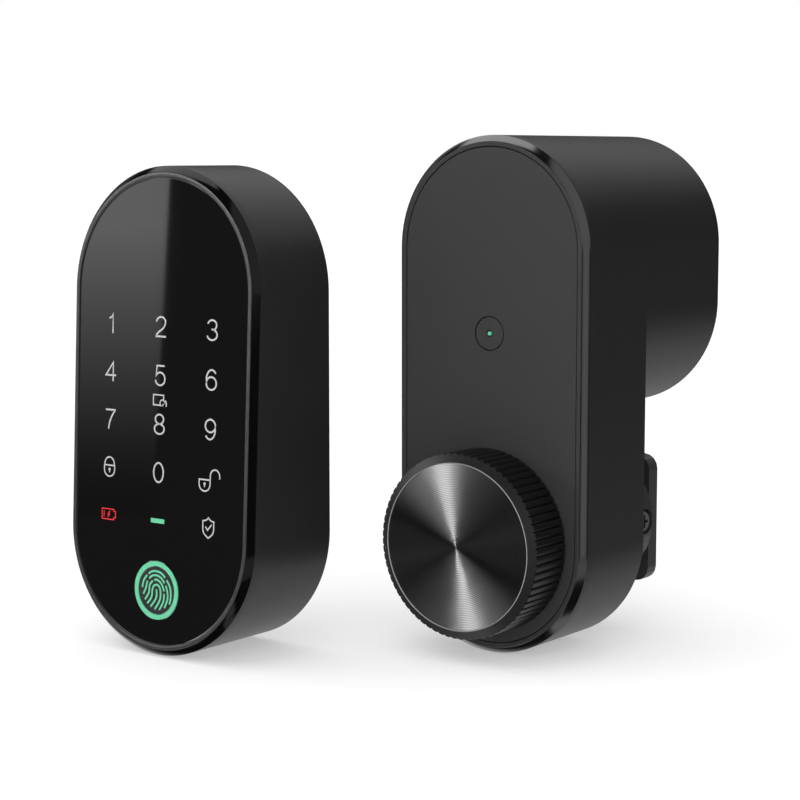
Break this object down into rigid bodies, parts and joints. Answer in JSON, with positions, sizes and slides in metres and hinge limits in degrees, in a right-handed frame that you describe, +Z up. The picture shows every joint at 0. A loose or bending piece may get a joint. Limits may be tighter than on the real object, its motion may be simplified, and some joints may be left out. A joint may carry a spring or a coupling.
{
  "type": "keypad smart lock",
  "caption": "Two-piece smart door lock: outdoor touch keypad with fingerprint reader, and indoor motor drive with a ridged knob that grips and turns the door's own thumb-turn.",
  "frame": {"origin": "centre of the drive unit's adhesive door face", "axes": "+Z up, +Y into the door (the fronts face -Y), +X to the right seen from the front; the keypad unit stands at -X"},
  "size_m": [0.1324, 0.1279, 0.138],
  "materials": {
    "drive_door_plate": "plain steel",
    "drive_door_adhesive_pad": "closed-cell foam tape",
    "drive_door_plate_stud_1": "plain steel",
    "drive_door_plate_stud_2": "plain steel",
    "keypad_door_plate": "plain steel",
    "keypad_door_adhesive_pad": "closed-cell foam tape",
    "keypad_door_plate_stud_1": "plain steel",
    "keypad_door_plate_stud_2": "plain steel",
    "drive_front_housing": "satin near-black, fine grain",
    "drive_front_panel": "matte charcoal",
    "drive_rear_housing": "satin near-black, fine grain",
    "drive_back_plate": "matte near-black",
    "drive_battery_cover": "matte black",
    "drive_cover_screw_1": "plain steel",
    "drive_cover_screw_2": "plain steel",
    "drive_cover_screw_3": "plain steel",
    "gear_plate": "plain steel",
    "reduction_pin": "plain steel",
    "drive_motor": "plain steel",
    "knob_front_bushing": "natural nylon",
    "knob_rear_bushing": "natural nylon",
    "drive_circuit_board": "green solder mask",
    "tact_switch": "matte black",
    "drive_cell_tray": "matte black",
    "drive_cell_1": "sleeved cell",
    "drive_cell_2": "sleeved cell",
    "drive_cell_3": "sleeved cell",
    "drive_cell_4": "sleeved cell",
    "knob_grip": "dark satin metal, ridged",
    "knob_face": "dark spun metal",
    "knob_trim_ring": "polished",
    "knob_shaft": "plain steel",
    "output_gear": "natural nylon",
    "coupler_drum": "matte black",
    "adapter_plate": "matte black",
    "adapter_screw_1": "plain steel",
    "adapter_screw_2": "plain steel",
    "fixed_jaw_pad": "black rubber",
    "clamp_screw": "plain steel",
    "clamp_jaw": "plain steel",
    "clamp_jaw_pad": "black rubber",
    "reduction_wheel": "natural nylon",
    "reduction_pinion": "yellow metal, cut teeth",
    "motor_pinion": "yellow metal, cut teeth",
    "status_button": "matte charcoal",
    "status_light": "green light pipe",
    "keypad_housing": "satin near-black, fine grain",
    "keypad_glass": "inset black touch glass, mirror gloss",
    "keypad_rear_cover": "matte black",
    "fingerprint_sensor": "dark coated sensor",
    "fingerprint_light_ring": "green light pipe",
    "status_light_bar": "green light pipe",
    "keypad_touch_board": "green solder mask",
    "keypad_main_board": "green solder mask",
    "keypad_buzzer": "matte black",
    "keypad_cell_tray": "matte black",
    "keypad_cell_1": "sleeved cell",
    "keypad_cell_2": "sleeved cell"
  },
  "bodies": {
    "door_plates": {"drive_door_plate": "drive_door_plate", "drive_door_adhesive_pad": "drive_door_adhesive_pad", "drive_door_plate_stud_1": "drive_door_plate_stud_1", "drive_door_plate_stud_2": "drive_door_plate_stud_2", "keypad_door_plate": "keypad_door_plate", "keypad_door_adhesive_pad": "keypad_door_adhesive_pad", "keypad_door_plate_stud_1": "keypad_door_plate_stud_1", "keypad_door_plate_stud_2": "keypad_door_plate_stud_2"},
    "drive_unit": {"drive_front_housing": "drive_front_housing", "drive_front_panel": "drive_front_panel", "drive_rear_housing": "drive_rear_housing", "drive_back_plate": "drive_back_plate", "drive_battery_cover": "drive_battery_cover", "drive_cover_screw_1": "drive_cover_screw_1", "drive_cover_screw_2": "drive_cover_screw_2", "drive_cover_screw_3": "drive_cover_screw_3", "gear_plate": "gear_plate", "reduction_pin": "reduction_pin", "drive_motor": "drive_motor", "knob_front_bushing": "knob_front_bushing", "knob_rear_bushing": "knob_rear_bushing", "drive_circuit_board": "drive_circuit_board", "tact_switch": "tact_switch", "drive_cell_tray": "drive_cell_tray", "drive_cell_1": "drive_cell_1", "drive_cell_2": "drive_cell_2", "drive_cell_3": "drive_cell_3", "drive_cell_4": "drive_cell_4"},
    "knob": {"knob_grip": "knob_grip", "knob_face": "knob_face", "knob_trim_ring": "knob_trim_ring", "knob_shaft": "knob_shaft", "output_gear": "output_gear", "coupler_drum": "coupler_drum", "adapter_plate": "adapter_plate", "adapter_screw_1": "adapter_screw_1", "adapter_screw_2": "adapter_screw_2", "fixed_jaw_pad": "fixed_jaw_pad"},
    "clamp_screw_body": {"clamp_screw": "clamp_screw"},
    "jaw": {"clamp_jaw": "clamp_jaw", "clamp_jaw_pad": "clamp_jaw_pad"},
    "reduction_gear": {"reduction_wheel": "reduction_wheel", "reduction_pinion": "reduction_pinion"},
    "motor_rotor": {"motor_pinion": "motor_pinion"},
    "button": {"status_button": "status_button", "status_light": "status_light"},
    "keypad_module": {"keypad_housing": "keypad_housing", "keypad_glass": "keypad_glass", "keypad_rear_cover": "keypad_rear_cover", "fingerprint_sensor": "fingerprint_sensor", "fingerprint_light_ring": "fingerprint_light_ring", "status_light_bar": "status_light_bar", "keypad_touch_board": "keypad_touch_board", "keypad_main_board": "keypad_main_board", "keypad_buzzer": "keypad_buzzer", "keypad_cell_tray": "keypad_cell_tray", "keypad_cell_1": "keypad_cell_1", "keypad_cell_2": "keypad_cell_2"}
  },
  "joints": [
    {"name": "drive_unit_slide", "type": "slide", "parent": "door_plates", "child": "drive_unit", "axis": [0, 0, 1], "range_m": [0, 0.007]},
    {"name": "knob_turn", "type": "hinge", "parent": "drive_unit", "child": "knob", "pos_m": [0, -0.072, -0.069], "axis": [0, 1, 0], "continuous": true},
    {"name": "reduction_turn", "type": "hinge", "parent": "drive_unit", "child": "reduction_gear", "pos_m": [0, -0.064, -0.047], "axis": [0, 1, 0], "continuous": true},
    {"name": "motor_turn", "type": "hinge", "parent": "drive_unit", "child": "motor_rotor", "pos_m": [0, -0.064, -0.027], "axis": [0, 1, 0], "continuous": true},
    {"name": "clamp_screw_turn", "type": "hinge", "parent": "knob", "child": "clamp_screw_body", "pos_m": [0.0172, -0.024, -0.069], "axis": [-1, 0, 0], "range_deg": [0, 1800]},
    {"name": "jaw_slide", "type": "slide", "parent": "knob", "child": "jaw", "axis": [-1, 0, 0], "range_m": [0, 0.0035]},
    {"name": "button_press", "type": "slide", "parent": "drive_unit", "child": "button", "axis": [0, 1, 0], "range_m": [0, 0.0006], "stiffness_N_per_m": 1000, "springref_m": -0.0003},
    {"name": "keypad_module_slide", "type": "slide", "parent": "door_plates", "child": "keypad_module", "axis": [0, 0, 1], "range_m": [0, 0.007]}
  ],
  "couplings": [
    {"joint": "reduction_turn", "follows": "knob_turn", "ratio": -2.6667},
    {"joint": "motor_turn", "follows": "knob_turn", "ratio": 6.2222},
    {"joint": "clamp_screw_turn", "follows": "jaw_slide", "rad_per_m": 8975.9}
  ]
}
